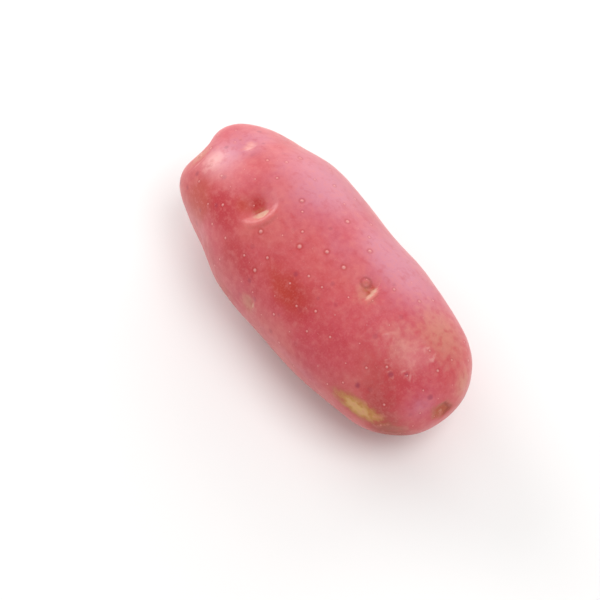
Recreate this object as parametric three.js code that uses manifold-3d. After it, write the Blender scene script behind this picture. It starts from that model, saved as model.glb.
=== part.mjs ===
// An oblong, red-skinned potato: one tuber that grew as one piece, lying on its flattest side.
// Sizes are in millimetres. -X points to the rose (bud) end, +X to the stolon (stem) end and +Z up.
// The origin is on the resting plane, under the middle of the tuber's bounding box.

import * as THREE from "three";
import { mergeVertices } from "three/addons/utils/BufferGeometryUtils.js";
import Module from "manifold-3d";

// Overall sizes of the tuber before its flat spot, swells and eyes are shaped.
const LENGTH = 116;
const WIDTH = 51;
const HEIGHT = 46;

// How much the resting flat takes off the underside.
const FLAT_SPOT_DEPTH = 0.5;

// The long section is two superellipse quarters that meet at the widest girth.
// A higher bluntness squares the end off, and a higher fullness fattens it near its tip.
const ROSE_TIP_TO_WIDEST = 41.8;
const ROSE_END = { bluntness: 2.0, fullness: 2.7 };
const STOLON_END = { bluntness: 3.1, fullness: 2.7 };

// The cross-section is a superellipse too: 2 is an ellipse, and more is squarer.
const SECTION_SQUARENESS = 2.1;

// The axis bows sideways and upwards in the middle by this much.
const SIDEWAYS_BOW = -0.4;
const UPWARD_BOW = 0.8;

// Places on the skin are given as `along`, the share of the way over the skin from the rose tip to
// the stolon tip, and `around`, the angle about the long axis in degrees: 0 is on top, 90 at +Y.

// Broad swells and hollows of the body: `rise` is how far the middle stands out, or in if it is
// negative, and `spread` is the distance from the middle over which it fades.
const SWELLS = [
  { name: "near lobe of the rose end", along: 0.13, around: -72, rise: 1.5, spread: 11 },
  { name: "far lobe of the rose end", along: 0.08, around: 30, rise: 1.8, spread: 12 },
  { name: "near waist", along: 0.26, around: -88, rise: -2.6, spread: 18 },
  { name: "far waist", along: 0.25, around: 52, rise: -1.4, spread: 13 },
  { name: "far flank hollow", along: 0.55, around: 60, rise: -1.0, spread: 16 },
  { name: "far shoulder of the stolon end", along: 0.84, around: 66, rise: 1.5, spread: 18 },
  { name: "near shoulder of the stolon end", along: 0.68, around: -96, rise: 0.7, spread: 20 },
  { name: "crown", along: 0.42, around: 14, rise: 0.7, spread: 22 },
  { name: "low belly", along: 0.6, around: 150, rise: 0.8, spread: 20 },
  { name: "far underside hollow", along: 0.3, around: 150, rise: -0.9, spread: 15 },
  { name: "near underside hollow", along: 0.8, around: -150, rise: -1.2, spread: 16 },
];

// An eye is a hollow in the skin, `deep` at its middle, `long` towards the tips and `wide` around.
const EYES = [
  { name: "rose tip eye", along: 0.072, around: -36, deep: 2.7, long: 11, wide: 13 },
  { name: "upper rose eye", along: 0.2, around: 9, deep: 0.4, long: 5, wide: 7 },
  { name: "far rose eye", along: 0.2, around: 112, deep: 1.2, long: 6, wide: 10 },
  { name: "low rose eye", along: 0.15, around: -140, deep: 1.1, long: 6, wide: 10 },
  { name: "browed eye", along: 0.355, around: -20, deep: 1.3, long: 9, wide: 14 },
  { name: "near flank eye", along: 0.485, around: -78, deep: 0.5, long: 5, wide: 8 },
  { name: "far flank eye", along: 0.52, around: 122, deep: 0.8, long: 6, wide: 10 },
  { name: "middle eye", along: 0.65, around: 4, deep: 0.7, long: 7, wide: 8 },
  { name: "low middle eye", along: 0.66, around: -142, deep: 0.7, long: 6, wide: 9 },
  { name: "far stolon eye", along: 0.86, around: 128, deep: 0.5, long: 5, wide: 7 },
];

// The stolon scar is a round dent where the tuber parted from its stem, close to the stolon tip.
const STOLON_SCAR = { along: 0.965, around: 5, deep: 1.1, long: 7, wide: 7 };

// Rings from tip to tip, and facets around each ring.
const RINGS = 58;
const FACETS = 66;

/** How far the stolon tip, or the rose tip, is from the widest girth. */
function endLength(towardsStolon) {
  return towardsStolon ? LENGTH - ROSE_TIP_TO_WIDEST : ROSE_TIP_TO_WIDEST;
}

/** How far a superellipse of half size 1 is from its middle, along the direction (side, top). */
function sectionReach(side, top) {
  const sum = Math.abs(side) ** SECTION_SQUARENESS + Math.abs(top) ** SECTION_SQUARENESS;
  return sum ** (-1 / SECTION_SQUARENESS);
}

/** Half of the tuber's long section, from the rose tip to the stolon tip, as (radius, station). */
class TuberOutline extends THREE.Curve {
  getPoint(share, target = new THREE.Vector2()) {
    const angle = Math.PI * share;
    const towardsStolon = angle > Math.PI / 2;
    const end = towardsStolon ? STOLON_END : ROSE_END;
    const fromWidest = endLength(towardsStolon) * Math.abs(Math.cos(angle)) ** (2 / end.bluntness);
    const radius = (WIDTH / 2) * Math.abs(Math.sin(angle)) ** (2 / end.fullness);
    const onAxis = share === 0 || share === 1;
    return target.set(onAxis ? 0 : radius, towardsStolon ? fromWidest : -fromWidest);
  }
}

const outline = new TuberOutline();

/** A point of the smooth body: `radius` and `station` are on the outline, `around` is in radians. */
function bodyPoint(radius, station, around) {
  const side = Math.sin(around);
  const top = Math.cos(around);
  const reach = radius * sectionReach(side, top);
  const bow = 1 - (station / endLength(station > 0)) ** 2;
  return new THREE.Vector3(
    station,
    reach * side + SIDEWAYS_BOW * bow,
    (HEIGHT / WIDTH) * reach * top + UPWARD_BOW * bow,
  );
}

/** The place on the smooth body that `along` and `around` name. */
function placeOnSkin({ along, around }) {
  const { x: radius, y: station } = outline.getPointAt(along);
  return bodyPoint(radius, station, THREE.MathUtils.degToRad(around));
}

/** 1 in the middle of a feature, falling smoothly to 0: `share` is the distance over its half size. */
function bell(share) {
  return Math.exp(-2 * share ** 2);
}

/** How far the skin stands out at `point`, from every swell and every eye. */
function reliefAt(point) {
  let height = 0;
  for (const swell of SWELLS) {
    const offset = placeOnSkin(swell).sub(point);
    height += swell.rise * bell(offset.length() / swell.spread);
  }
  for (const eye of [...EYES, STOLON_SCAR]) {
    const offset = placeOnSkin(eye).sub(point);
    const across = Math.hypot(offset.y, offset.z);
    height -= eye.deep * bell(Math.hypot(offset.x / (eye.long / 2), across / (eye.wide / 2)));
  }
  return height;
}

/** The tuber's skin as a closed mesh: the outline turned about its axis, then shaped and raised. */
function tuberGeometry() {
  const turned = new THREE.LatheGeometry(outline.getSpacedPoints(RINGS).reverse(), FACETS);
  turned.deleteAttribute("normal");
  turned.deleteAttribute("uv");
  const skin = mergeVertices(turned, 1e-3);
  const position = skin.getAttribute("position");
  const vertex = new THREE.Vector3();
  for (let i = 0; i < position.count; i++) {
    vertex.fromBufferAttribute(position, i);
    const radius = Math.hypot(vertex.x, vertex.z);
    position.setXYZ(i, ...bodyPoint(radius, vertex.y, Math.atan2(vertex.x, vertex.z)));
  }
  skin.computeVertexNormals();
  const normal = skin.getAttribute("normal");
  const outward = new THREE.Vector3();
  for (let i = 0; i < position.count; i++) {
    vertex.fromBufferAttribute(position, i);
    outward.fromBufferAttribute(normal, i);
    vertex.addScaledVector(outward, reliefAt(vertex));
    position.setXYZ(i, ...vertex);
  }
  skin.deleteAttribute("normal");
  return skin;
}

const wasm = await Module();
wasm.setup();

/** A closed mesh as a manifold-3d solid. */
function solidOf(geometry) {
  geometry.deleteAttribute("normal");
  geometry.deleteAttribute("uv");
  const closed = mergeVertices(geometry, 1e-4);
  return new wasm.Manifold(
    new wasm.Mesh({
      numProp: 3,
      vertProperties: closed.getAttribute("position").array,
      triVerts: new Uint32Array(closed.index.array),
    }),
  );
}

/** A manifold-3d solid as three.js geometry. */
function geometryOf(solid) {
  const mesh = solid.getMesh();
  return new THREE.BufferGeometry()
    .setAttribute("position", new THREE.BufferAttribute(mesh.vertProperties, 3))
    .setIndex(new THREE.BufferAttribute(mesh.triVerts, 1));
}

/** The tuber with its flat spot cut, stood on z = 0 with its bounding box centred over the origin. */
function restingTuber() {
  const tuber = tuberGeometry();
  tuber.computeBoundingBox();
  const restingPlane = tuber.boundingBox.min.z + FLAT_SPOT_DEPTH;
  const below = new THREE.BoxGeometry(2 * LENGTH, 2 * WIDTH, HEIGHT);
  below.translate(0, 0, restingPlane - HEIGHT / 2);
  const resting = geometryOf(solidOf(tuber).subtract(solidOf(below)));
  resting.computeBoundingBox();
  const middle = resting.boundingBox.getCenter(new THREE.Vector3());
  resting.translate(-middle.x, -middle.y, -restingPlane);
  resting.computeVertexNormals();
  return resting;
}

const redSkin = new THREE.MeshStandardMaterial({ color: 0xcf5d68, roughness: 0.5, metalness: 0 });

const potato = new THREE.Mesh(restingTuber(), redSkin);
potato.name = "potato";

const part = new THREE.Group();
part.add(potato);

export default part;
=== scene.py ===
"""Dresses an oblong, red-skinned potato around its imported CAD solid.

The CAD solid gives the tuber its true size and large shape. This script lays a fine skin over it,
shapes the eyes and the scars in that skin, scatters the lenticels with Geometry Nodes, and paints
the whole with one material for thin, washed potato skin. Lengths are in metres, written as a
number of millimetres times MM. -X is the rose (bud) end, +X the stolon (stem) end and +Z is up.
"""

import logging
import math
from dataclasses import dataclass, field
from enum import Enum
from typing import Any

import bpy
import numpy as np
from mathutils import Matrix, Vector
from mathutils.bvhtree import BVHTree


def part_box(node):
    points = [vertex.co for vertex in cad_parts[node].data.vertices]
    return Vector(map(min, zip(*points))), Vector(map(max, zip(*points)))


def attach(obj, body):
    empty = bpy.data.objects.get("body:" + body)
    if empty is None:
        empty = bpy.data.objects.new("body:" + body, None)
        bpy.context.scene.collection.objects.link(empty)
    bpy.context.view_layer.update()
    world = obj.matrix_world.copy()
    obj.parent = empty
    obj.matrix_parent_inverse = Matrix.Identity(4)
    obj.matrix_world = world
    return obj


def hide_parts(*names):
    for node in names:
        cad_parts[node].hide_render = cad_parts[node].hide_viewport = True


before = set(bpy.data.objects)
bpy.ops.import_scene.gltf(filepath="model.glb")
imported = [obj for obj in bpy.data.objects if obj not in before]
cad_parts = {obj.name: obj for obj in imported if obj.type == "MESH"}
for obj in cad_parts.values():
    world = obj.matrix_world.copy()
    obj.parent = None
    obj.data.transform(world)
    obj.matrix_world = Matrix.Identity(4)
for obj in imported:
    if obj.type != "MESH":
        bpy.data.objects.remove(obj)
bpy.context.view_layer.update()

MM = 0.001
log = logging.getLogger("potato")


class Mask(Enum):
    """A named vertex attribute that says how strongly a kind of skin, or a painted light or shade, shows at
    each point.
    """

    # The pink mask also carries painted sheen and the pale mask a painted highlight; the lip mask is a
    # painted highlight, the dark mask painted shade, and the hollow and brown masks carry some painted shade.
    CRIMSON = "crimson"
    ORANGE = "orange"
    PINK = "pink"
    TAN = "tan"
    SKINNED = "skinned"
    SCAR = "scar"
    HOLLOW = "hollow"
    LIP = "lip"
    DARK = "dark"
    BROWN = "brown"
    PALE = "pale"
    FRECKLE = "freckle"


# Vertex attributes that carry the lenticels: how far a point lies from its nearest one, how large
# that one is, and how densely they may be scattered.
SPOT_OFFSET = "spot_offset"
SPOT_SIZE = "spot_size"
SPOT_DENSITY = "spot_density"

# Noise textures vary evenly about this value.
NOISE_MIDDLE = 0.5

# What one node hands to the next: a socket, or a node that stands for its first output.
Signal = bpy.types.Node | bpy.types.NodeSocket


def linear_colour(code: str) -> tuple[float, float, float, float]:
    """Turn an sRGB hex colour into the linear one that shaders use.

    Args:
        code: Six hex digits after a hash, such as "#c84b50".

    Returns:
        Linear red, green and blue, with an alpha of 1.
    """
    values = [int(code[i : i + 2], 16) / 255 for i in (1, 3, 5)]
    linear = [v / 12.92 if v <= 0.04045 else ((v + 0.055) / 1.055) ** 2.4 for v in values]
    return (linear[0], linear[1], linear[2], 1.0)


def add_node(
    tree: bpy.types.NodeTree,
    kind: str,
    settings: dict[str, Any] | None = None,
    inputs: dict[str | int, Any] | None = None,
) -> bpy.types.Node:
    """Add a node with its settings, its input values and its links.

    Args:
        tree: The node tree to add to.
        kind: The node's type name.
        settings: Properties of the node itself.
        inputs: Input sockets by name or number. A socket or a node as the value is linked, each
            member of a list is linked in turn, and anything else becomes the socket's own value.

    Returns:
        The new node.
    """
    node = tree.nodes.new(kind)
    for name, value in (settings or {}).items():
        setattr(node, name, value)
    for key, value in (inputs or {}).items():
        for source in value if isinstance(value, list) else [value]:
            if isinstance(source, bpy.types.Node):
                source = source.outputs[0]
            if isinstance(source, bpy.types.NodeSocket):
                tree.links.new(source, node.inputs[key])
            else:
                node.inputs[key].default_value = source
    return node


def bell(share: np.ndarray) -> np.ndarray:
    """1 in the middle of a feature, falling smoothly to nearly 0 where share is 1."""
    return np.exp(-2.0 * share**2)


def ridge(offset: np.ndarray, width: float) -> np.ndarray:
    """1 along a line, falling smoothly to about a third at a width to either side of it."""
    return np.exp(-((offset / width) ** 2))


def ramp(value: np.ndarray, low: float, high: float) -> np.ndarray:
    """0 before low and 1 past high, with a straight rise between them."""
    return np.clip((value - low) / (high - low), 0.0, 1.0)


def smooth_step(value: np.ndarray, low: float, high: float) -> np.ndarray:
    """0 before low and 1 past high, with a smooth rise between them."""
    share = ramp(value, low, high)
    return share * share * (3.0 - 2.0 * share)


def waver(angle: np.ndarray, waves: tuple[tuple[int, float, float], ...]) -> np.ndarray:
    """Make a round mark's outline uneven.

    Args:
        angle: The angle of each point about the mark's middle, in radians.
        waves: For each wave the number of its lobes, its height and its phase in radians.

    Returns:
        What each point's distance from the middle is multiplied by, around 1.
    """
    return 1.0 + sum(height * np.sin(lobes * angle + phase) for lobes, height, phase in waves)


@dataclass(frozen=True)
class Place:
    """A place on the skin.

    Args:
        share: How far along the tuber it is, from 0 at the rose tip to 1 at the stolon tip.
        around: Degrees about the long axis: 0 on top, 90 at +Y.
    """

    share: float
    around: float


@dataclass
class LocalFrame:
    """A point of the skin with its outward, roseward and crosswise directions."""

    origin: np.ndarray
    out: np.ndarray
    rose: np.ndarray
    across: np.ndarray

    def turned(self, degrees: float) -> "LocalFrame":
        """Turn the frame about its outward direction.

        Args:
            degrees: How far the crosswise direction swings towards the stolon end.

        Returns:
            The turned frame.
        """
        cos, sin = math.cos(math.radians(degrees)), math.sin(math.radians(degrees))
        rose = cos * self.rose + sin * self.across
        across = cos * self.across - sin * self.rose
        return LocalFrame(self.origin, self.out, rose, across)

    def coordinates(
        self, points: np.ndarray, reach: float
    ) -> tuple[np.ndarray, np.ndarray, np.ndarray]:
        """Find which points lie near the frame, and where in it.

        Args:
            points: One row per point.
            reach: How far from the origin a point may lie.

        Returns:
            The numbers of the near points, and how far roseward and crosswise each lies.
        """
        near = np.flatnonzero(np.linalg.norm(points - self.origin, axis=1) < reach)
        offset = points[near] - self.origin
        return near, offset @ self.rose, offset @ self.across


class Skin:
    """The tuber's fine skin while it is shaped: points, four-sided faces and masks."""

    def __init__(self, points: np.ndarray, quads: np.ndarray) -> None:
        """Keep the points and the faces, with every mask at 0.

        Args:
            points: One row per vertex.
            quads: Four vertex numbers per face, in order and facing outwards.
        """
        self.points = points
        self.quads = quads
        self.masks = {mask: np.zeros(len(points)) for mask in Mask}
        following = np.roll(quads, -1, axis=1)
        pairs = np.sort(np.stack([quads.ravel(), following.ravel()], axis=1), axis=1)
        self.edges = np.unique(pairs, axis=0)
        self.degree = np.bincount(self.edges.ravel(), minlength=len(points)).astype(float)

    def smooth(self, rounds: int) -> None:
        """Move every point towards the middle of its neighbours.

        Args:
            rounds: How many times.
        """
        first, second = self.edges.T
        for _ in range(rounds):
            for axis in range(3):
                values = self.points[:, axis]
                total = np.bincount(first, values[second], len(values))
                total += np.bincount(second, values[first], len(values))
                self.points[:, axis] = 0.5 * values + 0.5 * total / self.degree

    def normals(self) -> np.ndarray:
        """Outward directions of length 1, one row per vertex."""
        a, b, c, d = (self.points[self.quads[:, i]] for i in range(4))
        facing = np.cross(c - a, d - b)
        total = np.zeros_like(self.points)
        for corner in range(4):
            for axis in range(3):
                total[:, axis] += np.bincount(self.quads[:, corner], facing[:, axis], len(total))
        return total / np.linalg.norm(total, axis=1, keepdims=True)

    def frame_at(self, place: Place) -> LocalFrame:
        """Stand on the skin at a place.

        Args:
            place: Where to stand.

        Returns:
            The frame there.
        """
        low, high = self.points.min(axis=0), self.points.max(axis=0)
        middle = (low + high) / 2
        angle = math.radians(place.around)
        wanted = np.array([low[0] + place.share * (high[0] - low[0]), middle[1], middle[2]])
        outward = np.array([0.0, math.sin(angle), math.cos(angle)])
        offset = self.points - wanted
        along_ray = offset @ outward
        off_ray = np.linalg.norm(offset - np.outer(along_ray, outward), axis=1)
        nearest = int(np.argmin(np.where(along_ray > 0, off_ray, np.inf)))
        out = self.normals()[nearest]
        rose = np.array([-1.0, 0.0, 0.0])
        rose -= (rose @ out) * out
        rose /= np.linalg.norm(rose)
        return LocalFrame(self.points[nearest], out, rose, np.cross(rose, out))

    def mark(self, mask: Mask, near: np.ndarray, strength: np.ndarray) -> None:
        """Raise a mask at some points to at least a strength.

        Args:
            mask: Which mask.
            near: The numbers of the points.
            strength: One strength for each.
        """
        self.masks[mask][near] = np.maximum(self.masks[mask][near], strength)


@dataclass(frozen=True)
class SkinLaying:
    """Lays a fine four-sided skin over a coarse closed solid.

    The grid is a box's six sides, each seen from the nearest point of a core line inside the
    tuber. That leaves no pole, seam or fan of thin faces at either tip.

    Args:
        cells_along: Cells of the box from tip to tip.
        cells_around: Cells of the box across each side.
        cap_radius: How far short of each tip the core line ends.
        smoothing_rounds: How many times the skin is smoothed.
    """

    cells_along: int = 224
    cells_around: int = 83
    cap_radius: float = 25 * MM
    smoothing_rounds: int = 34

    def lay(self, solid: bpy.types.Object) -> Skin:
        """Make the skin.

        Args:
            solid: The CAD solid to cover.

        Returns:
            The skin, smoothed over the solid's facets.
        """
        vertices = [v.co.copy() for v in solid.data.vertices]
        faces = [tuple(p.vertices) for p in solid.data.polygons]
        tree = BVHTree.FromPolygons(vertices, faces)
        low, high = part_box(solid.name)
        middle = (low + high) / 2
        core = (high.x - low.x) / 2 - self.cap_radius
        lattice, quads = self._box_lattice()
        points = np.empty((len(lattice), 3))
        for number, (along, side, top) in enumerate(lattice):
            start = Vector((min(max(along, -1.0), 1.0) * core, 0.0, 0.0))
            beyond = max(abs(along) - 1.0, 0.0) * math.copysign(1.0, along)
            aim = Vector((math.tan(beyond), math.tan(side), math.tan(top)))
            hit = tree.ray_cast(middle + start, aim.normalized())[0]
            points[number] = hit
        skin = Skin(points, quads)
        skin.smooth(self.smoothing_rounds)
        return skin

    def _box_lattice(self) -> tuple[np.ndarray, np.ndarray]:
        """Number the points and faces of the box's six sides.

        Returns:
            For each point its place along, where -1 to 1 is the core line and the rest is an
            angle past it, and its two angles across; and the four point numbers of each face.
        """
        counts = (self.cells_along, self.cells_around, self.cells_around)
        corners = []
        for axis in range(3):
            first, second = (axis + 1) % 3, (axis + 2) % 3
            i, j = np.meshgrid(np.arange(counts[first]), np.arange(counts[second]), indexing="ij")
            for level in (0, counts[axis]):
                face = np.zeros((i.size, 4, 3), dtype=int)
                face[:, :, axis] = level
                steps = ((0, 0), (1, 0), (1, 1), (0, 1)) if level else ((0, 0), (0, 1), (1, 1), (1, 0))
                for corner, (step_first, step_second) in enumerate(steps):
                    face[:, corner, first] = i.ravel() + step_first
                    face[:, corner, second] = j.ravel() + step_second
                corners.append(face)
        corners = np.concatenate(corners)
        keys, numbers = np.unique(corners.reshape(-1, 3), axis=0, return_inverse=True)
        share = 2.0 * keys / np.array(counts) - 1.0
        quarter = math.pi / 4
        reach = 1.0 + quarter
        lattice = np.stack([share[:, 0] * reach, share[:, 1] * quarter, share[:, 2] * quarter], axis=1)
        return lattice, numbers.reshape(-1, 4)


@dataclass(frozen=True)
class Swell:
    """A low swell or hollow of the body, finer than the solid's own.

    Args:
        place: Its middle.
        rise: How far its middle stands out, or in if it is negative.
        spread: The distance from its middle over which it fades.
    """

    place: Place
    rise: float
    spread: float

    def shape(self, skin: Skin) -> None:
        """Raise or sink the skin.

        Args:
            skin: The skin to shape.
        """
        here = skin.frame_at(self.place)
        share = np.linalg.norm(skin.points - here.origin, axis=1) / self.spread
        skin.points += skin.normals() * (self.rise * bell(share))[:, None]


@dataclass(frozen=True)
class Eye:
    """An eye: a hollow under a brow, the scar of a scale leaf, with its bud inside.

    Args:
        name: What to call it.
        place: Where its bud sits.
        turn: How far the brow swings towards the stolon end on its +Y side, in degrees.
        brow_span: Length of the brow from end to end.
        brow_back: How far behind the bud, towards the stolon end, the brow's middle lies.
        brow_sag: How far the brow's ends curve forward round the bud.
        brow_skew: How far the brow's +Y end leans towards the rose end, as a slope.
        wall: How wide the brow's sloping wall is.
        lip: How high the brow stands out.
        drop: How deep the hollow is under the brow.
        hollow: How far forward the hollow reaches.
        scar_long: Length of the pale scar on the brow's wall, or 0 for none.
        scar_wide: Width of that scar.
        scar_paleness: How strongly that scar shows, from 0 to 1.
        bud: Radius of the bud, or 0 where it is too sunk to show.
        tint: How strongly the eye's colours show, its painted highlight and shade among them, from 0 to 1.
    """

    name: str
    place: Place
    turn: float = 0.0
    brow_span: float = 9 * MM
    brow_back: float = 3.5 * MM
    brow_sag: float = 1.2 * MM
    brow_skew: float = 0.0
    wall: float = 1.1 * MM
    lip: float = 0.15 * MM
    drop: float = 0.3 * MM
    hollow: float = 3.5 * MM
    scar_long: float = 0.0
    scar_wide: float = 1.2 * MM
    scar_paleness: float = 1.0
    bud: float = 0.0
    tint: float = 0.7

    def shape(self, skin: Skin) -> None:
        """Press the eye into the skin and mark its colours, with its painted highlight and painted shade.

        Args:
            skin: The skin to shape.
        """
        here = skin.frame_at(self.place).turned(self.turn)
        reach = self.brow_span / 2 + self.brow_back + self.hollow
        near, u, v = here.coordinates(skin.points, reach)
        across = v / (self.brow_span / 2)
        weight = np.clip(1.0 - across**2, 0.0, 1.0)
        past_brow = u + self.brow_back - self.brow_sag * across**2 - self.brow_skew * v
        height = self._relief(past_brow, weight)
        if self.bud > 0:
            height += self._bud(skin, near, np.hypot(u, v))
        skin.points[near] += skin.normals()[near] * height[:, None]
        self._tint_brow(skin, near, past_brow, weight)
        self._tint_hollow(skin, near, past_brow, v)
        if self.scar_long > 0:
            self._mark_scar(skin, near, past_brow, v)

    def _relief(self, past_brow: np.ndarray, weight: np.ndarray) -> np.ndarray:
        """How far the brow stands out and the hollow sinks.

        Args:
            past_brow: How far roseward of the brow each point lies.
            weight: 1 at the brow's middle, falling to 0 at its ends.

        Returns:
            The height of each point.
        """
        crest, foot = -0.3 * self.wall, 0.7 * self.wall
        lip_width = 2.8 * self.wall
        wall = smooth_step(past_brow, crest, foot)
        lip = weight * (1.0 - wall) * ridge(past_brow, lip_width)
        hollow = weight * wall * ridge(past_brow, self.hollow)
        return self.lip * lip - self.drop * hollow

    def _bud(self, skin: Skin, near: np.ndarray, from_bud: np.ndarray) -> np.ndarray:
        """Mark the bud's brown and painted shade in the sunk ring round it.

        Args:
            skin: The skin to mark.
            near: The numbers of the points.
            from_bud: How far each lies from the bud's middle.

        Returns:
            How far the bud stands out at each point, and the ring sinks.
        """
        dome_height, dome_width = 0.3 * self.bud, 0.9 * self.bud
        moat_depth, moat_radius, moat_width = 0.1 * self.bud, 1.25 * self.bud, 0.6 * self.bud
        moat_shade, brown_shade, brown_radius = 0.75, 0.65, 1.9 * self.bud
        moat = ridge(from_bud - moat_radius, moat_width)
        skin.mark(Mask.DARK, near, moat_shade * self.tint * moat)
        skin.mark(Mask.BROWN, near, brown_shade * self.tint * bell(from_bud / brown_radius))
        return dome_height * ridge(from_bud, dome_width) - moat_depth * moat

    def _tint_brow(
        self, skin: Skin, near: np.ndarray, past_brow: np.ndarray, weight: np.ndarray
    ) -> None:
        """Mark a painted highlight along the lip of the brow and painted shadow in the crease behind it.

        Args:
            skin: The skin to mark.
            near: The numbers of the points.
            past_brow: How far roseward of the brow each lies.
            weight: 1 at the brow's middle, falling to 0 at its ends.
        """
        lip_middle, lip_width, lip_taper = 0.35 * self.wall, 0.65 * self.wall, 2.4
        crease_middle, crease_width, crease_taper = -0.9 * self.wall, 0.5 * self.wall, 0.5
        crease_shade = 0.6
        lip = weight**lip_taper * ridge(past_brow - lip_middle, lip_width)
        crease = weight**crease_taper * ridge(past_brow - crease_middle, crease_width)
        skin.mark(Mask.LIP, near, self.tint * lip)
        skin.mark(Mask.DARK, near, crease_shade * self.tint * crease)

    def _tint_hollow(
        self, skin: Skin, near: np.ndarray, past_brow: np.ndarray, v: np.ndarray
    ) -> None:
        """Mark the deep red of the hollow, partly the eye's own red and partly painted shade in the recess.

        Args:
            skin: The skin to mark.
            near: The numbers of the points.
            past_brow: How far roseward of the brow each lies.
            v: How far crosswise of the eye's middle each lies.
        """
        middle = self.wall + 0.25 * self.hollow
        half_length, half_width = 0.75 * self.hollow, 0.3 * self.brow_span
        share = np.hypot((past_brow - middle) / half_length, v / half_width)
        skin.mark(Mask.HOLLOW, near, self.tint * bell(share))

    def _mark_scar(
        self, skin: Skin, near: np.ndarray, past_brow: np.ndarray, v: np.ndarray
    ) -> None:
        """Mark the pale scar of the scale leaf, with painted shadow in brown along its inner edge.

        Args:
            skin: The skin to mark.
            near: The numbers of the points.
            past_brow: How far roseward of the brow each lies.
            v: How far crosswise of the eye's middle each lies.
        """
        scar_middle = 0.6 * self.wall
        gone, whole = 4 / 3, 1 / 2
        edge_middle, edge_width = 1.35 * self.wall, 0.5 * self.wall
        edge_half_length, edge_shade = self.scar_long / 1.4, 0.75
        along_scar = v / (self.scar_long / 2)
        over_scar = (past_brow - scar_middle) / (self.scar_wide / 2)
        scar = ramp(np.hypot(along_scar, over_scar), gone, whole)
        edge = ridge(past_brow - edge_middle, edge_width) * bell(v / edge_half_length)
        skin.mark(Mask.SCAR, near, self.scar_paleness * scar)
        skin.mark(Mask.BROWN, near, edge_shade * self.tint * edge)


@dataclass(frozen=True)
class StolonScar:
    """The round scar where the tuber parted from its stem: a shallow dent with a corky rim.

    Args:
        place: Its middle.
        radius: The rim's radius.
        depth: How deep the dent is.
        rim: How far the rim stands out.
        waves: The unevenness of its outline, as waver takes it.
    """

    place: Place = Place(0.994, 8)
    radius: float = 3.5 * MM
    depth: float = 0.45 * MM
    rim: float = 0.15 * MM
    waves: tuple[tuple[int, float, float], ...] = ((2, 0.1, 0.5), (5, 0.08, 2.0))

    def shape(self, skin: Skin) -> None:
        """Press the scar into the skin, mark its cork and paint shade inside the far side of its rim.

        Args:
            skin: The skin to shape.
        """
        here = skin.frame_at(self.place)
        near, u, v = here.coordinates(skin.points, 3 * self.radius)
        distance = np.hypot(u, v) * waver(np.arctan2(v, u), self.waves)
        dent_radius, rim_width = 1.1 * self.radius, 0.35 * self.radius
        height = self.rim * ridge(distance - self.radius, rim_width)
        height -= self.depth * bell(distance / dent_radius)
        skin.points[near] += skin.normals()[near] * height[:, None]
        brown_shade, brown_radius = 1.1, 1.7 * self.radius
        cork_shade, cork_radius = 0.58, 0.7 * self.radius
        skin.mark(Mask.BROWN, near, brown_shade * bell(distance / brown_radius))
        skin.mark(Mask.SCAR, near, cork_shade * bell(distance / cork_radius))
        # Painted shade along the inside of the rim on its far side.
        edge_radius, edge_width = 0.75 * self.radius, 0.25 * self.radius
        far_side = smooth_step(v, -0.3 * self.radius, 0.6 * self.radius)
        skin.mark(Mask.DARK, near, far_side * ridge(distance - edge_radius, edge_width))


@dataclass(frozen=True)
class RingMark:
    """A healed nick: a faint pale ring of cork round a darker middle.

    Args:
        place: Its middle.
        radius: The ring's radius.
        pale: How strongly the ring shows.
        dark: How strongly the middle shows.
        rise: How far the ring stands out.
        waves: The unevenness of its outline, as waver takes it.
    """

    place: Place
    radius: float
    pale: float
    dark: float
    rise: float = 0.05 * MM
    waves: tuple[tuple[int, float, float], ...] = ((3, 0.16, 0.8), (5, 0.1, 0.0))

    def shape(self, skin: Skin) -> None:
        """Raise the ring a little and mark its colours.

        Args:
            skin: The skin to shape.
        """
        here = skin.frame_at(self.place)
        near, u, v = here.coordinates(skin.points, 2.5 * self.radius)
        angle = np.arctan2(v, u)
        distance = np.hypot(u, v) * waver(angle, self.waves)
        ring_width, middle_radius = 0.5 * self.radius, 0.8 * self.radius
        thickness = 0.7 + 0.3 * np.sin(2 * angle + 1.9)
        ring = thickness * ridge(distance - self.radius, ring_width)
        skin.points[near] += skin.normals()[near] * (self.rise * ring)[:, None]
        skin.mark(Mask.PALE, near, self.pale * ring)
        skin.mark(Mask.FRECKLE, near, self.dark * bell(distance / middle_radius))


@dataclass(frozen=True)
class Patch:
    """A patch where the skin's colour differs, or where light or shade is painted on it.

    Args:
        name: What to call it.
        mask: The kind of skin, or the painted light or shade, that shows there.
        place: Its middle.
        long: Its length towards the tips.
        wide: Its width around the tuber.
        turn: How far its width swings towards the stolon end on its +Y side, in degrees.
        strength: How strongly it shows, from 0 to 1.
    """

    name: str
    mask: Mask
    place: Place
    long: float
    wide: float
    turn: float = 0.0
    strength: float = 1.0

    def paint(self, skin: Skin) -> None:
        """Mark the patch on the skin.

        Args:
            skin: The skin to mark.
        """
        here = skin.frame_at(self.place).turned(self.turn)
        reach = 0.8 * max(self.long, self.wide)
        near, u, v = here.coordinates(skin.points, reach)
        share = np.hypot(u / (self.long / 2), v / (self.wide / 2))
        rubbed_edge = 1.5
        facing_away, facing_alike = -0.4, 0.1
        if self.mask is Mask.SKINNED:
            strength = np.maximum(rubbed_edge - share, 0.0)
        else:
            strength = bell(share)
        # Skin on the far side of a thin end lies within reach too, and stays plain.
        strength *= smooth_step(skin.normals()[near] @ here.out, facing_away, facing_alike)
        skin.mark(self.mask, near, self.strength * strength)


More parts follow.
